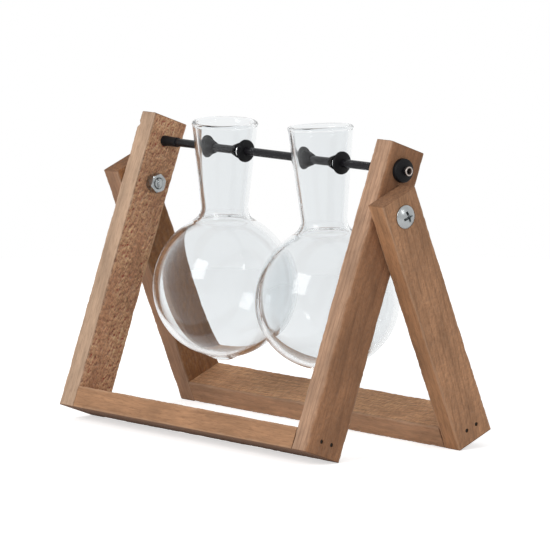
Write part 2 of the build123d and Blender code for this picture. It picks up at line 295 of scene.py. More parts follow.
def sawn_wood(name, place, turn, half, tones, bar, down, seed):
    """Oiled softwood strip, sawn and lightly planed: pale rubbed edges, short dark pores along the
    grain, growth rings drawn out into bands, and on rough faces torn and lifted fibres with painted
    shade in their pits, painted highlights on their ridges, and painted light and shade on their slopes.
    place and turn lay the pattern along the bar, half is half its size, and down is the axis and
    the side of the bar that is on the ground, which is darkened with painted shade."""
    material, tree, shader = new_material(name, {"Specular IOR Level": 0.3})
    fuzz, figure = bar.fuzz, bar.figure
    object_space = add_node(tree, "TexCoord", {}).outputs["Object"]
    on_bar = {"Vector": object_space, "Location": place, "Rotation": turn}
    along = add_node(tree, "Mapping", on_bar, vector_type="TEXTURE").outputs[0]

    # Each bar comes from its own place in the plank. Its grain runs at a small slant and wanders
    in_plank = tuple(seed * step for step in (0.013, 0.021, 0.37))
    slant = {"Vector": along, "Rotation": (bar.slant, bar.slant / 2, 0), "Location": in_plank}
    slanted = add_node(tree, "Mapping", slant).outputs[0]
    slow = add_node(tree, "Mapping", {"Vector": slanted, "Scale": (1, 1, 0.25)}).outputs[0]
    drift = {"Vector": slow, "Scale": 1 / (26 * MM), "Detail": 2.0}
    wander = add_node(tree, "TexNoise", drift).outputs["Color"]
    push = {0: wander, 1: (6 * MM, 6 * MM, 0), 2: slanted}
    pushed = add_node(tree, "VectorMath", push, operation="MULTIPLY_ADD").outputs[0]

    # Growth rings about a heart well outside the bar, 2.6 mm apart
    heart = {"Vector": pushed, "Location": (19 * MM, -7 * MM, 0), "Scale": (1, 1, 0.05)}
    ring = {"Vector": add_node(tree, "Mapping", heart).outputs[0], "Scale": 2 * pi / 20 / (2.6 * MM)}
    ring.update({"Distortion": 1.2, "Detail": 2.0, "Detail Scale": 1.5})
    kind = {"wave_type": "RINGS", "rings_direction": "Z", "wave_profile": "SAW"}
    rings = add_node(tree, "TexWave", ring, **kind).outputs["Fac"]

    # Real fibres and pores are 0.05 to 0.2 mm wide, these 0.7 mm, as fine as the render shows
    parts = add_node(tree, "SeparateXYZ", {0: along}).outputs
    fields = {"X": parts[0], "Y": parts[1], "Z": parts[2], "rings": rings}
    for key, source, size, stretch, detail, shift in (
        ("fibre", pushed, 0.7, 0.09, 3.0, 0),
        ("pore", pushed, 0.7, 0.16, 1.0, 0),
        ("tear", slanted, 1.7, 0.7, 6.0, 0),
        ("tear above", slanted, 1.7, 0.7, 6.0, 0.45 * MM),
        ("mottle", slanted, 9.0, 0.3, 2.0, 0),
        ("nick", slanted, 2.6, 0.3, 2.0, 0),
    ):
        stretched = {"Vector": source, "Location": (0, -shift, shift), "Scale": (1, 1, stretch)}
        drawn_out = add_node(tree, "Mapping", stretched).outputs[0]
        speckle = {"Vector": drawn_out, "Scale": 1 / (size * MM), "Detail": detail, "Roughness": 0.6}
        fields[key] = add_node(tree, "TexNoise", speckle).outputs["Fac"]

    # Distances in from the bar's faces, ragged where the rubbing ends. A mask rises from 0 to 1
    # between two values. Fibres are torn on the sides only, with painted light where they face up and
    # forward and painted shade where they face away
    for key, operation, *terms in (
        *((f"out {axis}", "ABSOLUTE", axis) for axis in "XYZ"),
        *((f"inset {axis}", "SUBTRACT", h, f"out {axis}") for axis, h in zip("XYZ", half)),
        ("front inset", "ADD", "Y", half.y),
        ("edge inset", "MAXIMUM", "inset X", "inset Y"),
        ("ground inset", "MULTIPLY_ADD", "XYZ"[down[0]], -down[1], half[down[0]]),
        ("ragged edge", "MULTIPLY_ADD", "nick", -2.4 * MM, "edge inset"),
        ("ragged front", "MULTIPLY_ADD", "nick", -1.4 * MM, "front inset"),
        ("front", "MASK", "ragged front", 1.1 * MM, -0.5 * MM),
        ("back", "MASK", "inset Y", 1.1 * MM, 0.3 * MM),
        ("end", "MASK", "inset Z", 0.5 * MM, 0.1 * MM),
        # Painted shade along the face or end that stands on the ground
        ("under", "MASK", "ground inset", 0.6 * MM, 0.15 * MM),
        ("rubbed", "MASK", "ragged edge", 0.2 * MM, -0.9 * MM),
        ("late wood", "MASK", "rings", 0.55, 0.98),
        ("pores", "MASK", "pore", 0.56, 0.68),
        # Torn and lifted fibres: partly their own colour, partly painted shade in the pits and painted
        # highlight on the ridges
        ("all torn", "MASK", "tear", 0.48, 0.7),
        ("all lifted", "MASK", "tear", 0.52, 0.32),
        ("sides", "SUBTRACT", 1.0, "back"),
        ("torn", "MULTIPLY", "all torn", "sides"),
        ("lifted", "MULTIPLY", "all lifted", "sides"),
        ("patches", "MULTIPLY", "mottle", "sides"),
        # The tear noise less the same noise a step up and forward: painted light and shade on the torn
        # fibres
        ("slope", "SUBTRACT", "tear", "tear above"),
        ("painted fibre light and shade", "MULTIPLY_ADD", "slope", 3.0, 0.5),
    ):
        values = [fields.get(term, term) for term in terms]
        if operation == "MASK":
            span = dict(zip(("Value", "From Min", "From Max"), values))
            node = add_node(tree, "MapRange", span, interpolation_type="SMOOTHSTEP")
        else:
            node = add_node(tree, "Math", dict(enumerate(values)), operation=operation)
        fields[key] = node.outputs[0]

    # Colour, from the broad faces to the marks on them
    colour = (*tones["side"], 1)
    for blend, mask, share, top in (
        ("MIX", "front", 1.0, "face"),
        ("MIX", "late wood", 0.3 * figure, "dark"),
        ("OVERLAY", None, 0.5, "mottle"),
        ("OVERLAY", None, 0.4, "fibre"),
        ("MIX", "pores", 0.22, "dark"),
        # Torn fibres darker, lifted fibres paler: partly their colour, partly painted shade in pits and
        # painted highlight on ridges
        ("MIX", "torn", 0.35 * fuzz, "dark"),
        ("MIX", "lifted", 0.3 * fuzz, "light"),
        # Painted light and shade on the torn fibres of the rough sides
        ("OVERLAY", "patches", 0.9 * fuzz, "painted fibre light and shade"),
        ("OVERLAY", "end", 0.9, "tear"),
        ("MIX", "rubbed", 0.25, "light"),
        ("MIX", "end", 0.55, "dark"),
        # Painted shade on the side that stands on the ground
        ("MIX", "under", 0.85, "dark"),
    ):
        if mask:
            masked = add_node(tree, "Math", {0: fields[mask], 1: share}, operation="MULTIPLY")
            share = masked.outputs[0]
        top = (*tones[top], 1) if top in tones else fields[top]
        layer = {0: share, 6: colour, 7: top}
        colour = add_node(tree, "Mix", layer, data_type="RGBA", blend_type=blend).outputs[2]
    tree.links.new(colour, shader.inputs["Base Color"])

    # Relief: pores and torn fibres are sunk, late wood stands a little proud
    height = fields["fibre"]
    proud = {"pores": -0.5, "torn": -1.6 * fuzz, "lifted": fuzz, "late wood": 0.2 * figure}
    for mask, share in proud.items():
        added = {0: fields[mask], 1: share, 2: height}
        height = add_node(tree, "Math", added, operation="MULTIPLY_ADD").outputs[0]
    embossed(tree, shader, height, 0.6, 0.25)
    varied(tree, shader, fields["fibre"], (0.66, 0.86))
    return material


def blown_glass(tint):
    """Clear borosilicate, blown by mouth: almost colourless, and a little uneven in thickness, so
    that it bends what lies behind. Its faint mirror images are held back, so that this stays clear."""
    constants = {"Base Color": (*tint, 1), "Transmission Weight": 1.0, "IOR": 1.47}
    constants["Specular Tint"] = (0.4, 0.4, 0.4, 1)
    material, tree, shader = new_material("blown borosilicate glass", constants)
    place = add_node(tree, "TexCoord", {}).outputs["Object"]
    waves = {"Vector": place, "Scale": 1 / (14 * MM), "Detail": 1.0}
    ripple = add_node(tree, "TexNoise", waves).outputs["Fac"]
    embossed(tree, shader, ripple, 0.12, 0.3)
    varied(tree, shader, ripple, (0.0, 0.006))
    return material


def clouded(name, tones, cloud, constants, rough=None, stretch=None, grain=None):
    """A finish that clouds from one tone to another, its roughness with it. A cloud is a size in mm
    and a detail, a grain the same with the strength and depth of its relief."""
    material, tree, shader = new_material(name, constants)
    place = add_node(tree, "TexCoord", {}).outputs["Object"]
    if stretch:
        place = add_node(tree, "Mapping", {"Vector": place, "Scale": stretch}).outputs[0]
    patches = {"Vector": place, "Scale": 1 / (cloud[0] * MM), "Detail": cloud[1]}
    clouds = add_node(tree, "TexNoise", patches).outputs["Fac"]
    mixed = {0: clouds, 6: (*tones[0], 1), 7: (*tones[1], 1)}
    colour = add_node(tree, "Mix", mixed, data_type="RGBA").outputs[2]
    tree.links.new(colour, shader.inputs["Base Color"])
    if rough:
        varied(tree, shader, clouds, rough)
    if grain:
        size, detail, strength, depth = grain
        specks = {"Vector": place, "Scale": 1 / (size * MM), "Detail": detail}
        height = add_node(tree, "TexNoise", specks).outputs["Fac"]
        embossed(tree, shader, height, strength, depth)
    return material


def plated_zinc(tone):
    """Steel fasteners, cold formed and zinc plated: bright grey metal, finely grained, with faint
    scratches that blur its reflections."""
    tones, grain = (tone, tuple(c * 0.62 for c in tone)), (0.7, 3.0, 0.25, 0.05)
    constants = {"Metallic": 1.0}
    return clouded("bright zinc plate", tones, (3.5, 2.0), constants, (0.16, 0.34), grain=grain)


def black_rubber(tone):
    """Moulded rubber: near black, matt, with a faint bloom and a fine grain from the mould."""
    tones, grain = (tone, tuple(c * 2.2 for c in tone)), (0.5, 2.0, 0.3, 0.06)
    constants = {"Specular IOR Level": 0.15}
    return clouded("moulded black rubber", tones, (4, 3.0), constants, (0.4, 0.6), grain=grain)


def painted_tube(tone):
    """Thin steel tube with baked black paint: satin, so that it takes a soft line of light."""
    name, tones = "baked black paint on steel tube", (tone, tuple(c * 2.0 for c in tone))
    constants = {"Specular IOR Level": 0.2}
    return clouded(name, tones, (0.8, 2.0), constants, (0.24, 0.38), stretch=(0.15, 1, 1))


def bare_steel(name, tone, dull):
    """Cut or drawn steel without paint: grey metal, slightly warm, a little blurred."""
    return clouded(name, (linear(tone), linear(dull)), (0.6, 3.0), {"Metallic": 1.0, "Roughness": 0.3})


# Wooden bars

# Places of the bars: how they lean, and where rod and pivot are below their tops
FRONT_LEAN, REAR_LEAN = radians(20.4), radians(22.39)
ROD_BELOW_TOP, PIVOT_BELOW_TOP = 12 * MM, 10.8 * MM
FRONT_UP = Vector((0, sin(FRONT_LEAN), cos(FRONT_LEAN)))
FRONT_BACK = Vector((0, cos(FRONT_LEAN), -sin(FRONT_LEAN)))
REAR_UP = Vector((0, -sin(REAR_LEAN), cos(REAR_LEAN)))
REAR_BACK = Vector((0, cos(REAR_LEAN), sin(REAR_LEAN)))
ALONG_X = Vector((1, 0, 0))
GRID = 0.75 * MM

# Nails, in mm apart from the first two: the bore, and the wider sink for the head
NAIL_PITCH, NAIL_ABOVE_FOOT = 6.8 * MM, 7.2 * MM
NAIL_BORE, NAIL_SINK, NAIL_SINK_DEPTH = 0.72, 1.07, 1.3
PIVOT_BORE, BUSHING_BORE = 2.55, 2.82

# How far in from an edge wear reaches, how large its patches are, and how deep fibres are torn out
EDGE_REACH, CHIP_REACH, ON_FACE = 2.2 * MM, 2.4 * MM, 0.02 * MM
RUB_PATCH, RUB_NICK, SAW_WAVE, TEAR_NICK, TEAR_PATCH = 9 * MM, 2.2 * MM, 6 * MM, 1.6 * MM, 7 * MM
TEAR_DEPTH = 0.45 * MM

# The chip near the top of one leg's left front edge
CHIPPED, CHIP_BELOW_TOP, CHIP_HALF, CHIP_DEPTH = "front_left_leg", 7 * MM, 1.6 * MM, 0.7 * MM


class Bar(NamedTuple):
    """What differs from bar to bar: the tones of its front and sides, how rough its sides are sawn,
    how strong its figure is, the slant of its grain and the round of its rubbed edge in mm."""

    front: str
    side: str
    fuzz: float
    figure: float
    slant: float
    rub_round: float = 0


BARS = {
    "front_left_leg": Bar("#B89A81", "#D09E79", 1.5, 0.3, 0.01, 0.9),
    "front_right_leg": Bar("#B08C72", "#966C4E", 0.25, 0.9, -0.02, 2.9),
    "rear_left_leg": Bar("#9A755B", "#9A6C46", 0.5, 0.8, 0.03),
    "rear_right_leg": Bar("#A57855", "#AE8261", 0.3, 0.8, 0.16),
    "front_rail": Bar("#A97F5E", "#9F7656", 0.3, 0.5, 0.0),
    "rear_rail": Bar("#A67E60", "#C4956E", 0.7, 0.6, 0.02),
}


def wear(point, half, edge_wear, face_wave, tear, rub_round, chipped):
    """How far in a point of a bar's skin has worn, as a vector towards the bar's middle line. The
    edge between the front and the face at positive X is rubbed to a round of its own, wider low down."""
    inset = Vector(h - abs(c) for h, c in zip(half, point))
    toward = Vector((-1 if point.x > 0 else 1, -1 if point.y > 0 else 1, 0))
    from_edge = hypot(max(inset.x, 0), max(inset.y, 0))
    rub = 0.35 + 0.9 * noise.noise(point / RUB_PATCH) + 0.8 * noise.noise(point / RUB_NICK)
    closeness = max(0, 1 - from_edge / EDGE_REACH)
    move = toward * (edge_wear * closeness * min(max(rub, 0), 1.4) / sqrt(2))
    wave = 0.5 + 0.5 * noise.noise(Vector((point.x, point.y, point.z * 0.4)) / SAW_WAVE)
    for axis in (0, 1):
        if inset[axis] < ON_FACE:
            move[axis] += toward[axis] * face_wave * wave
    if inset.x < ON_FACE:
        torn = noise.noise(point / TEAR_NICK) + 0.8 * noise.noise(point / TEAR_PATCH)
        move.x += toward.x * tear * min(max(torn, 0), 1)
    rub_round *= 1.25 - 0.5 * point.z / half.z
    from_corner = max(inset.x, inset.y)
    if point.x > 0 > point.y and from_corner < rub_round:
        turn = (1 - max(from_corner, 0) / rub_round) * pi / 4
        along, deep = rub_round * (1 - sin(turn)), rub_round * (1 - cos(turn))
        rubbed = (deep, along) if inset.x < inset.y else (along, deep)
        move.x += toward.x * (rubbed[0] - inset.x)
        move.y += toward.y * (rubbed[1] - inset.y)
    if chipped and point.x < 0 and point.y < 0:
        beyond = (point.z - (half.z - CHIP_BELOW_TOP)) / CHIP_HALF
        notch = max(0, 1 - abs(beyond)) + (0.45 if beyond > 0 else 0)
        move += toward * CHIP_DEPTH * min(notch, 1) * max(0, 1 - from_edge / CHIP_REACH)
    return move


def make_bar(half, stand, square_ends, tear=0.0, rub_round=0.0, chipped=False):
    """A sawn bar about the origin, long along Z, with worn edges and slightly uneven faces."""
    bm = bmesh.new()
    bmesh.ops.create_cube(bm, size=2)
    bmesh.ops.scale(bm, vec=half, verts=bm.verts[:])
    long_edges = [e for e in bm.edges if abs(e.verts[0].co.z - e.verts[1].co.z) > half.z]
    bevelled(bm, long_edges, stand.edge_round, 4)
    if not square_ends:
        end_edges = [e for e in bm.edges if abs(e.verts[0].co.z + e.verts[1].co.z) > 1.9 * half.z]
        bevelled(bm, end_edges, stand.end_ease, 2)
    for axis in range(3):
        across = Vector((0, 0, 0))
        across[axis] = 1
        span = half[axis] - 1.4 * MM
        cuts = int(2 * span / GRID)
        for i in range(cuts + 1):
            bmesh.ops.bisect_plane(
                bm,
                geom=bm.verts[:] + bm.edges[:] + bm.faces[:],
                plane_co=across * (2 * span * i / cuts - span),
                plane_no=across,
            )
    edge_wear, face_wave = stand.edge_wear, stand.face_wave
    for vert in bm.verts:
        vert.co += wear(vert.co, half, edge_wear, face_wave, tear, rub_round, chipped)
    return bm


def peg(cutter, section, steps, matrix=Matrix.Identity(4)):
    """Adds a round punch to a cutter. Its section gets a point on the axis at either end."""
    part = bmesh.new()
    chain(part, [(section[0][0], 0), *section, (section[-1][0], 0)])
    turned(part, steps)
    moved(part, matrix)
    mesh = mesh_of("peg", part)
    cutter.from_mesh(mesh)
    bpy.data.meshes.remove(mesh)


def drill(bm, half, side, nails, bores):
    """Drills a leg through its width: nail holes with room for their sunk heads, and plain bores."""
    cutter = bmesh.new()
    turn = Matrix.Rotation(side * pi / 2, 4, "Y")
    start, sink, end = -half.x / MM - 1, half.x / MM - NAIL_SINK_DEPTH, half.x / MM + 1
    for y, z in nails:
        hole = [(start, NAIL_BORE), (sink, NAIL_BORE), (sink, NAIL_SINK), (end, NAIL_SINK)]
        peg(cutter, hole, 24, Matrix.Translation((0, y, z)) @ turn)
    for z, radius in bores:
        peg(cutter, [(start, radius), (end, radius)], 40, Matrix.Translation((0, 0, z)) @ turn)
    return carved(bm, cutter)


class PROPVASE_OT_bars(Operator):
    """Saws the four legs and the two rails, wears their edges and drills the legs"""

    bl_idname = "propvase.bars"
    bl_label = "Wooden bars"

    def execute(self, context):
        settings = context.scene.propagation_vase
        stand, finish = settings.stand, settings.finish
        for seed, (node, bar) in enumerate(BARS.items()):
            if node.startswith("front"):
                up, back, inner = FRONT_UP, FRONT_BACK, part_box("front_rail")[1].x
                length, top = stand.front_length, ROD + FRONT_UP * ROD_BELOW_TOP
            else:
                up, back, inner = REAR_UP, REAR_BACK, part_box("rear_rail")[1].x
                length, top = stand.rear_length, PIVOT + REAR_UP * PIVOT_BELOW_TOP
            foot = top - up * length
            foot.x = 0
            if node.endswith("rail"):
                half = Vector((stand.rail_height / 2, stand.depth / 2, inner))
                centre = foot + up * (stand.rail_height / 2)
                axes, down = (-up, back, ALONG_X), (0, 1)
                bm = make_bar(half, stand, True)
            else:
                side = LEFT if "left" in node else RIGHT
                half = Vector((stand.width / 2, stand.depth / 2, length / 2))
                centre = foot + up * (length / 2)
                centre.x = side * (inner + stand.width / 2)
                axes, down = (ALONG_X, back, up), (2, -1)
                tear = TEAR_DEPTH * max(0, bar.fuzz - 0.5)
                bm = make_bar(half, stand, False, tear, bar.rub_round * MM, node == CHIPPED)
                nails = [(s * NAIL_PITCH / 2, NAIL_ABOVE_FOOT - half.z) for s in (-1, 1)]
                bores = [((PIVOT - centre).dot(up), PIVOT_BORE)]
                if node.startswith("front"):
                    bores.append(((ROD - centre).dot(up), BUSHING_BORE))
                bm = drill(bm, half, side, nails, bores)
            turn = Matrix(axes).transposed()
            moved(bm, Matrix.Translation(centre) @ turn.to_4x4())
            tones = {"face": linear(bar.front), "side": linear(bar.side)}
            tones.update(dark=finish.heart, light=finish.planed)
            name = f"sawn softwood, {node.replace('_', ' ')}"
            wood = sawn_wood(name, centre, turn.to_euler(), half, tones, bar, down, seed)
            finished(f"{node}_timber", bm, node, "wood", wood, sharp=radians(50))
        return {"FINISHED"}


# Turned parts


def arc(bm, start, centre, turn, steps):
    """Draws an arc of edges from a vertex, in the section's plane, from X towards Z. Returns its end.
    The centre is (height, radius) in mm."""
    where = {"cent": (centre[1] * MM, 0, centre[0] * MM), "axis": (0, -1, 0)}
    swung = bmesh.ops.spin(bm, geom=[start], angle=turn, steps=steps, **where)
    return swung["geom_last"][0]


def dome(bm, edge, top_height, steps, inner_radius=0.0):
    """Draws a ball cap's arc from the edge of a dome towards its top, as far as an inner radius."""
    radius, rise = edge.co.x / MM, top_height - edge.co.z / MM
    ball = (radius**2 + rise**2) / (2 * rise)
    turn = asin(radius / ball) - asin(inner_radius / ball)
    return arc(bm, edge, (top_height - ball, 0), turn, steps)


def join(bm, a, b):
    """Closes the gap between two points of a section with an edge."""
    bm.edges.new((a, b))


def raised(bm, faces, height):
    """Extrudes faces along Z and returns the new points."""
    extruded = bmesh.ops.extrude_face_region(bm, geom=faces)["geom"]
    verts = [v for v in extruded if isinstance(v, bmesh.types.BMVert)]
    bmesh.ops.translate(bm, vec=(0, 0, height), verts=verts)
    return verts


class PROPVASE_OT_screws(Operator):
    """Turns the two truss-head pivot screws and strikes a cross into their heads"""

    bl_idname = "propvase.screws"
    bl_label = "Pivot screws"

    def execute(self, context):
        zinc = plated_zinc(context.scene.propagation_vase.finish.zinc)
        shank, head, head_rim, head_height, point = 2.5, 5.9, 0.5, 2.8, 0.8
        slot_size, slot_depth, first_arm = (6.2 * MM, 1.3 * MM, 2 * MM), 1.6 * MM, 24
        for name, side in SIDES.items():
            node = f"pivot_screw_{name}"
            inner, outer = sorted(abs(corner.x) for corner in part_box(node))
            seat = outer - head_height * MM
            end = (inner - seat) / MM
            bm = bmesh.new()
            _, collar, rim = chain(bm, [(0, shank), (0, head), (head_rim, head)])
            dome(bm, rim, head_height, 14)
            _, tip = chain(bm, [(0, shank), (end + point, shank)])
            dome(bm, tip, end, 6)
            rounded(bm, [(collar, 0.12), (rim, 0.3)])
            turned(bm, 72)
            # Each arm of the cross is a slot that narrows towards the bottom
            for turn in (first_arm, first_arm + 90):
                cutter = bmesh.new()
                bar = bmesh.ops.create_cube(cutter, size=1)["verts"]
                bmesh.ops.scale(cutter, vec=slot_size, verts=bar)
                under = [f for f in cutter.faces if f.normal.z < -0.5]
                bottom = raised(cutter, under, -slot_depth)
                bmesh.ops.delete(cutter, geom=under, context="FACES_ONLY")
                bmesh.ops.scale(cutter, vec=(0.4, 0.6, 1), verts=bottom)
                bmesh.ops.recalc_face_normals(cutter, faces=cutter.faces[:])
                spin = Matrix.Rotation(radians(turn), 4, "Z")
                moved(cutter, Matrix.Translation((0, 0, (head_height + 0.5) * MM)) @ spin)
                bm = carved(bm, cutter)
            laid_on_rod(bm, side * seat, side, PIVOT)
            finished(f"{node}_zinc", bm, node, "zinc_plate", zinc)
        return {"FINISHED"}


class PROPVASE_OT_nuts(Operator):
    """Forms the two hexagon nuts on the inner faces of the front legs"""

    bl_idname = "propvase.nuts"
    bl_label = "Pivot nuts"

    def execute(self, context):
        zinc = plated_zinc(context.scene.propagation_vase.finish.zinc)
        thick, flat, bore, sink, edge_round, tightened = 4.7, 4.45, 2.52, 0.6, 0.2, 12
        corner = flat / cos(pi / 6)
        chamfer = (corner - flat) * tan(pi / 6)
        for name, side in SIDES.items():
            node = f"pivot_nut_{name}"
            bm = bmesh.new()
            bmesh.ops.create_circle(bm, cap_ends=True, segments=6, radius=corner * MM)
            raised(bm, bm.faces[:], thick * MM)
            corners = [e for e in bm.edges if abs(e.verts[0].co.z - e.verts[1].co.z) > 1 * MM]
            bevelled(bm, corners, edge_round * MM, 3)
            bmesh.ops.recalc_face_normals(bm, faces=bm.faces[:])
            hull, hole = bmesh.new(), bmesh.new()
            outline = [(0, flat), (chamfer, corner), (thick - chamfer, corner), (thick, flat)]
            peg(hull, outline, 96)
            bm = carved(bm, hull, "INTERSECT")
            outline = [(-1, bore + sink), (0, bore + sink), (sink, bore), (thick - sink, bore)]
            outline += [(thick, bore + sink), (thick + 1, bore + sink)]
            peg(hole, outline, 64)
            bm = carved(bm, hole)
            seat = max(abs(corner.x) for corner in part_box(node))
            laid_on_rod(bm, side * seat, -side, PIVOT)
            turn = Matrix.Rotation(radians(tightened), 3, "X")
            bmesh.ops.rotate(bm, cent=PIVOT, matrix=turn, verts=bm.verts[:])
            finished(f"{node}_zinc", bm, node, "zinc_plate", zinc, sharp=radians(25))
        return {"FINISHED"}


class PROPVASE_OT_nails(Operator):
    """Darkens the sunk heads of the nails that hold the rails, near black as painted shade of their
    holes
    """

    bl_idname = "propvase.nails"
    bl_label = "Nails"

    def execute(self, context):
        # Near-black steel on the nail heads paints in the shade of their sunk holes
        steel = bare_steel("near-black nail steel", "#3A342F", "#1E1A17")
        for node in ("front_nails", "rear_nails"):
            for slot in frame["nodes"][node].material_slots:
                slot.material = steel
        return {"FINISHED"}


# Rod and rubber


def moulded(rim_height, top_height, inside, rim_round, rounds, x, side):
    """Moulds a rubber ring about the rod: a domed flange and a run of points from its edge to the
    mouth of the bore, some of them rounded. Sizes in mm, but x, the ring's place along the rod."""
    bm = bmesh.new()
    _, rim = chain(bm, [inside[0], (rim_height, inside[0][1])])
    lip = dome(bm, rim, top_height, 8, inside[-1][1])
    points = chain(bm, inside)
    join(bm, points[-1], lip)
    rounded(bm, [(rim, rim_round)] + [(points[i], size) for i, size in rounds.items()])
    welded(bm)
    turned(bm, 72)
    laid_on_rod(bm, x, side, ROD)
    return bm


class PROPVASE_OT_rod(Operator):
    """Draws the steel tube that the vases hang on, painted black between its bare flared ends"""

    bl_idname = "propvase.rod"
    bl_label = "Hanging rod"

    def execute(self, context):
        finish = context.scene.propagation_vase.finish
        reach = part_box("hanging_rod")[1].x / MM
        radius, bore, flare, mouth, outer_ease, inner_ease = 2.1, 1.3, 2.35, 1.65, 0.2, 0.1
        flared_from, lip_from = reach - 1.6, reach - 0.8
        bm = bmesh.new()
        half = [(flared_from, radius), (lip_from, flare), (reach, flare), (reach, mouth)]
        half.append((flared_from, bore))
        section = chain(bm, half + [(-height, r) for height, r in reversed(half)])
        join(bm, section[-1], section[0])
        lips = [(v, outer_ease if v.co.x > flare * 0.99 * MM else inner_ease) for v in section]
        rounded(bm, [(v, size) for v, size in lips if abs(v.co.z) > (reach - 0.5) * MM])
        straight = [e for e in bm.edges if e.calc_length() > reach * MM]
        outside = [e for e in straight if e.verts[0].co.x > bore * 1.2 * MM]
        bmesh.ops.subdivide_edges(bm, edges=outside, cuts=40)
        turned(bm, 48)
        laid_on_rod(bm, 0, RIGHT, ROD)
        for face in bm.faces:
            place = face.calc_center_median()
            from_axis = hypot(place.y - ROD.y, place.z - ROD.z)
            painted = abs(place.x) < flared_from * MM and from_axis > bore * 1.3 * MM
            face.material_index = 0 if painted else 1
        paint = painted_tube(finish.rod)
        steel = bare_steel("cut end of the tube", "#C9BFB8", "#8E8580")
        finished("hanging_rod_tube", bm, "hanging_rod", "black_tube", paint, steel)
        return {"FINISHED"}


class PROPVASE_OT_bushings(Operator):
    """Moulds the rubber bushings that carry the rod in the front legs"""

    bl_idname = "propvase.bushings"
    bl_label = "Rod bushings"

    def execute(self, context):
        rubber = black_rubber(context.scene.propagation_vase.finish.rubber)
        width = context.scene.propagation_vase.stand.width / MM
        outer_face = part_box("front_rail")[1].x / MM + width
        bore, flange, barrel, sleeve, gap = 2.15, 6.0, 2.8, 2.5, 0.02
        rim_height, top_height, taper_end, sleeve_end = gap + 2.2, gap + 3.2, -width - 4.5, -width - 10.8
        inside = [(gap, flange), (gap, barrel), (-width, barrel), (taper_end, sleeve)]
        inside += [(sleeve_end, sleeve), (sleeve_end, bore)]
        for name, side in SIDES.items():
            node = f"rod_bushing_{name}"
            x, rounds = side * outer_face * MM, {-2: 0.15, -1: 0.1, -3: 0.6}
            bm = moulded(rim_height, top_height, inside, 0.9, rounds, x, side)
            finished(f"{node}_rubber", bm, node, "rubber", rubber)
        return {"FINISHED"}


# Blown glass


class Vase(NamedTuple):
    """Sizes in which the two blown vases differ, in mm and degrees, measured from the rod."""

    x: float
    lean: float
    rim_tilt: float
    bulb_below_rod: float
    bulb_radius: float
    lower_height: float
    shoulder_radius: float
    drop: float
    drop_edge: float
    neck_radius: float
    rim_radius: float
    rim_above_rod: float

    def neck_base(self):
        """Height at which the neck's line leaves the bulb."""
        reach = self.shoulder_radius - self.bulb_radius + self.neck_radius
        return sqrt(self.shoulder_radius**2 - reach**2) - self.bulb_below_rod

    def neck_slope(self):
        """How much the neck's radius grows for each millimetre up its axis."""
        return (self.rim_radius - self.neck_radius) / (self.rim_above_rod - self.neck_base())


VASES = {
    "left": Vase(-37.5, -0.6, 3.0, 71.2, 36.5, 36.2, 39.1, 1.6, 7.6, 11.5, 16.7, 13.9),
    "right": Vase(37.6, 3.5, 1.5, 70.9, 36.2, 34.0, 39.5, 2.2, 8.6, 11.1, 16.3, 17.4),
}
HOLE_RADIUS = 3.8


class PROPVASE_OT_grommets(Operator):
    """Moulds the rubber grommets in the holes of the necks"""

    bl_idname = "propvase.grommets"
    bl_label = "Grommets"

    def execute(self, context):
        settings = context.scene.propagation_vase
        neck_wall = settings.vase.neck_wall / MM
        rubber = black_rubber(settings.finish.rubber)
        bore, flange, barb, tip_radius, barrel = 2.15, 5.75, 4.15, 2.75, HOLE_RADIUS - 0.05
        gap, thick, rim_thick, nose = 0.12, 2.1, 0.9, 4.2
        for name, vase in VASES.items():
            slope, lean = vase.neck_slope(), radians(vase.lean)
            neck = vase.rim_radius - slope * vase.rim_above_rod
            for hand, side in SIDES.items():
                node = f"{name}_vase_grommet_{hand}"
                tilt = cos(lean) + side * slope * sin(lean)
                wall, inner = neck / tilt, (neck - neck_wall) / tilt
                cup = tan(atan(slope) - side * lean)
                seat = wall + gap + cup * barrel
                under = wall + gap + cup * flange
                barb_at = sqrt(inner**2 - barb**2) - cup * barb - gap
                inside = [(under, flange), (seat, barrel), (barb_at, barrel), (barb_at, barb)]
                inside += [(barb_at - nose, tip_radius), (barb_at - nose, bore)]
                x, rounds = vase.x * MM, {-3: 0.4, -2: 0.25}
                bm = moulded(under + rim_thick, seat + thick, inside, 0.35, rounds, x, side)
                finished(f"{node}_rubber", bm, node, "rubber", rubber)
        return {"FINISHED"}


def melted_corner(bm, shoulder, centre, ball, line_start, line_slope, blend):
    """Draws the bulb's section from its widest ring to the corner between bulb and neck. Returns the
    corner and how far a round of the blend's size reaches from it. The centre and the start of the
    neck's line are (height, radius) in mm."""
    steep = hypot(1, line_slope)
    run_out = line_start[1] - centre[1] - line_slope * (line_start[0] - centre[0])
    angle = acos((run_out / steep + blend) / (ball + blend)) - atan(line_slope)
    end = arc(bm, shoulder, centre, angle, 52)
    at = (end.co.z / MM, end.co.x / MM)
    gap = at[1] - line_start[1] - line_slope * (at[0] - line_start[0])
    reach = gap / (line_slope * cos(angle) + sin(angle))
    (corner,) = chain(bm, [(at[0] + reach * cos(angle), at[1] - reach * sin(angle))])
    join(bm, end, corner)
    return corner, reach


def quarter(bm, start, radius, height, belly, turn, steps):
    """Draws an arc of the bulb's radius from a vertex and flattens it to a height above or below the
    belly, the height of the widest ring. Returns its end."""
    drawn = set(bm.verts) - {start}
    end = arc(bm, start, (belly, 0), turn, steps)
    about = Matrix.Translation((0, 0, -belly * MM))
    flattened = [v for v in bm.verts if v not in drawn]
    bmesh.ops.scale(bm, vec=(1, 1, height / radius), space=about, verts=flattened)
    return end


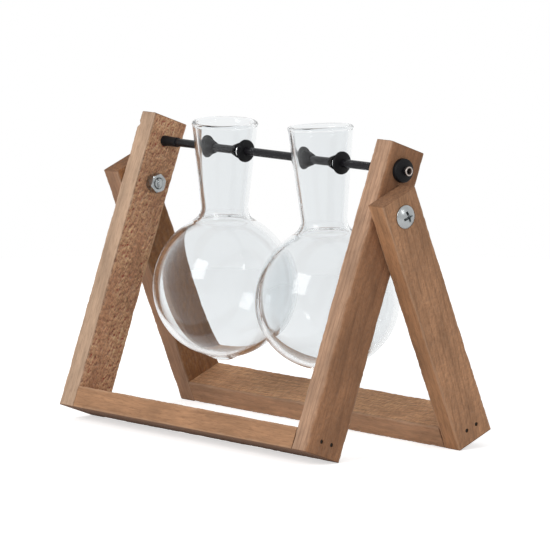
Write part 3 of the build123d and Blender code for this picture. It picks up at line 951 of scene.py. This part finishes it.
class PROPVASE_OT_vases(Operator):
    """Blows the two glass bulbs with their flared necks and drills the holes for the rod"""

    bl_idname = "propvase.vases"
    bl_label = "Glass vases"

    def execute(self, context):
        settings = context.scene.propagation_vase
        glass = blown_glass(settings.finish.glass)
        walls = settings.vase
        bead, neck_wall = walls.bead / MM, walls.neck_wall / MM
        drop_ball, drop_blend = 14.0, 1.0
        low_bead, high_bead = radians(-37), radians(198)
        soft_below_rod, near_x, near_y = 10, 0.76, -0.65
        for name, vase in VASES.items():
            belly, slope = -vase.bulb_below_rod, vase.neck_slope()
            radius = vase.bulb_radius
            centre = (belly, radius - vase.shoulder_radius)
            bm = bmesh.new()
            # Outside, from the drop under the base up to the widest ring
            drop_middle = belly - vase.lower_height - vase.drop + drop_ball
            (lowest,) = chain(bm, [(drop_middle - drop_ball, 0)])
            drop_end = arc(bm, lowest, (drop_middle, 0), asin(vase.drop_edge / drop_ball), 10)
            low_edge = vase.drop_edge + drop_blend
            turn = acos(low_edge / radius)
            (foot,) = chain(bm, [(belly - radius * sin(turn), low_edge)])
            widest = quarter(bm, foot, radius, vase.lower_height, belly, turn, 60)
            join(bm, drop_end, foot)
            # Outside, over the shoulder and along the neck to the bead of the rim
            line = (vase.neck_base(), vase.neck_radius)
            root_round, throat_round = walls.root_round / MM, walls.throat_round / MM
            root, root_reach = melted_corner(
                bm, widest, centre, vase.shoulder_radius, line, slope, root_round
            )
            bead_at = (vase.rim_above_rod - bead, vase.rim_radius - neck_wall / 2)
            lip_at = (bead_at[0] + bead * sin(low_bead), bead_at[1] + bead * cos(low_bead))
            (lip,) = chain(bm, [lip_at])
            join(bm, root, lip)
            lip_end = arc(bm, lip, bead_at, high_bead - low_bead, 22)
            # Inside, from the lowest point up to the rim
            inner, inner_neck = radius - walls.bulb_wall / MM, vase.neck_radius - neck_wall
            (widest_in,) = chain(bm, [(belly, inner)])
            height_in = vase.lower_height - walls.base_wall / MM
            quarter(bm, widest_in, inner, height_in, belly, -pi / 2, 64)
            shoulder_in = vase.shoulder_radius - walls.bulb_wall / MM
            base_in = sqrt(shoulder_in**2 - (inner_neck - centre[1]) ** 2) + belly
            slope_in = (vase.rim_radius - neck_wall - inner_neck) / (vase.rim_above_rod - base_in)
            throat, throat_reach = melted_corner(
                bm, widest_in, centre, shoulder_in, (base_in, inner_neck), slope_in, throat_round
            )
            join(bm, throat, lip_end)
            # Melted corners, fine steps along the neck
            rounded(bm, [(root, root_reach), (throat, throat_reach)], segments=12)
            welded(bm, 0.02 * MM)
            straight = [e for e in bm.edges if e.calc_length() > 20 * MM]
            bmesh.ops.subdivide_edges(bm, edges=straight, cuts=56)
            turned(bm, 180)
            # The rim was melted while held a little askew: its near side hangs lower
            soft_length = vase.rim_above_rod + soft_below_rod
            for vert in bm.verts:
                rise = max(0, (vert.co.z / MM + soft_below_rod) / soft_length)
                near = vert.co.x * near_x + vert.co.y * near_y
                vert.co.z -= tan(radians(vase.rim_tilt)) * near * rise
            lean = Matrix.Rotation(-radians(vase.lean), 4, "Y")
            on_rod = Matrix.Translation((vase.x * MM, ROD.y, ROD.z))
            moved(bm, on_rod @ lean)
            punch = bmesh.new()
            past = 25
            across = on_rod @ Matrix.Rotation(pi / 2, 4, "Y")
            peg(punch, [(-past, HOLE_RADIUS), (past, HOLE_RADIUS)], 96, across)
            bm = carved(bm, punch)
            finished(f"{name}_vase_glass", bm, f"{name}_vase", "glass", glass, sharp=radians(40))
        return {"FINISHED"}


# Stage

FLOOR_RADIUS, LAMP_DISTANCE, AIM = 0.7, 1.5, Vector((0, 0, 75 * MM))
CAMERA_PLACE, CAMERA_BACK = (1.87693, -1.59491, 0.40609), Vector((0.75399, -0.64362, 0.13133))


def plainly_seen(tree):
    """1 for rays from the camera, from gloss or through glass, 0 for light that falls on things."""
    path = add_node(tree, "LightPath", {}).outputs
    seen = path["Is Camera Ray"]
    for ray in ("Is Glossy Ray", "Is Transmission Ray"):
        seen = add_node(tree, "Math", {0: seen, 1: path[ray]}, operation="MAXIMUM").outputs[0]
    return seen


class PROPVASE_OT_stage(Operator):
    """Sets the floor, the light and the camera"""

    bl_idname = "propvase.stage"
    bl_label = "Stage"

    def execute(self, context):
        scene = context.scene
        stage = scene.propagation_vase.stage
        scene.view_settings.view_transform = "Standard"

        # Pale matt floor, white to the camera, gloss and glass apart from the object's shadow
        bm = bmesh.new()
        bmesh.ops.create_circle(bm, cap_ends=True, segments=96, radius=FLOOR_RADIUS)
        floor = in_scene("floor", mesh_of("floor", bm))
        constants = {"Base Color": (*stage.floor, 1), "Roughness": 0.9, "Specular IOR Level": 0.0}
        constants["Emission Color"] = (1, 1, 1, 1)
        material, tree, shader = new_material("pale matt floor", constants)
        span = {"Value": plainly_seen(tree), "To Max": stage.floor_glow}
        glow = add_node(tree, "MapRange", span).outputs[0]
        looked_at = add_node(tree, "LightPath", {}).outputs["Is Camera Ray"]
        faded = {0: looked_at, 1: stage.shadow_fade, 2: glow}
        glow = add_node(tree, "Math", faded, operation="MULTIPLY_ADD").outputs[0]
        tree.links.new(glow, shader.inputs["Emission Strength"])
        floor.data.materials.append(material)

        # World: plain light from all round, white where the camera, gloss or glass sees it
        world = bpy.data.worlds.new("studio")
        scene.world = world
        world.use_nodes = True
        tree = world.node_tree
        tree.nodes.clear()
        span = {"Value": plainly_seen(tree), "To Min": stage.fill_level, "To Max": 1.0}
        level = add_node(tree, "MapRange", span).outputs[0]
        white = add_node(tree, "Background", {"Color": (1, 1, 1, 1), "Strength": level})
        add_node(tree, "OutputWorld", {"Surface": white.outputs[0]})

        # Softbox in front, to the camera's left, and a strip lamp beyond the right side
        for name, direction, level, wide, high in (
            ("softbox", Vector((0.026, -0.872, 0.489)), stage.key_level, 0.6, 0.75),
            ("strip lamp", Vector((0.882, -0.021, 0.47)), stage.side_level, 0.14, 0.5),
        ):
            direction.normalize()
            lamp = bpy.data.lights.new(name, "AREA")
            lamp.shape, lamp.size, lamp.size_y = "RECTANGLE", wide, high
            lamp.energy = level * (pi * LAMP_DISTANCE) ** 2
            box = in_scene(name, lamp)
            box.location = AIM + direction * LAMP_DISTANCE
            box.rotation_euler = direction.to_track_quat("Z", "Y").to_euler()

        # Camera at the photograph's place, level, with the object in its frame
        camera = bpy.data.cameras.new("camera")
        camera.lens, camera.sensor_width, camera.clip_end = stage.lens / MM, 36, 50
        eye = in_scene("camera", camera)
        eye.location = CAMERA_PLACE
        eye.rotation_euler = CAMERA_BACK.to_track_quat("Z", "Y").to_euler()
        scene.camera = eye

        # Light is followed until it has left the thick glass again
        for limit in ("max_bounces", "glossy_bounces", "transmission_bounces"):
            setattr(scene.cycles, limit, 128)
        return {"FINISHED"}


class PROPVASE_PT_panel(Panel):
    """Lists the pieces and their settings"""

    bl_idname = "PROPVASE_PT_panel"
    bl_label = "Propagation vase"
    bl_space_type = "VIEW_3D"
    bl_region_type = "UI"
    bl_category = "Propagation vase"

    def draw(self, context):
        settings = context.scene.propagation_vase
        for part, operators in PARTS.items():
            box = self.layout.box()
            group = getattr(settings, part)
            for name in group.__annotations__:
                box.prop(group, name)
            for operator in operators:
                box.operator(operator.bl_idname)


PARTS = {
    "stand": (PROPVASE_OT_bars, PROPVASE_OT_nails),
    "vase": (PROPVASE_OT_vases, PROPVASE_OT_grommets),
    "finish": (PROPVASE_OT_screws, PROPVASE_OT_nuts, PROPVASE_OT_rod, PROPVASE_OT_bushings),
    "stage": (PROPVASE_OT_stage,),
}
SETTINGS = (StandSettings, VaseSettings, FinishSettings, StageSettings, PropagationVaseSettings)
CLASSES = (*SETTINGS, *(each for group in PARTS.values() for each in group), PROPVASE_PT_panel)


def register():
    for cls in CLASSES:
        bpy.utils.register_class(cls)
    bpy.types.Scene.propagation_vase = PointerProperty(type=PropagationVaseSettings)


def unregister():
    del bpy.types.Scene.propagation_vase
    for cls in reversed(CLASSES):
        bpy.utils.unregister_class(cls)


def main():
    register()
    bpy.ops.propvase.bars()
    bpy.ops.propvase.nails()
    bpy.ops.propvase.screws()
    bpy.ops.propvase.nuts()
    bpy.ops.propvase.rod()
    bpy.ops.propvase.bushings()
    bpy.ops.propvase.grommets()
    bpy.ops.propvase.vases()
    bpy.ops.propvase.stage()


if __name__ == "__main__":
    main()
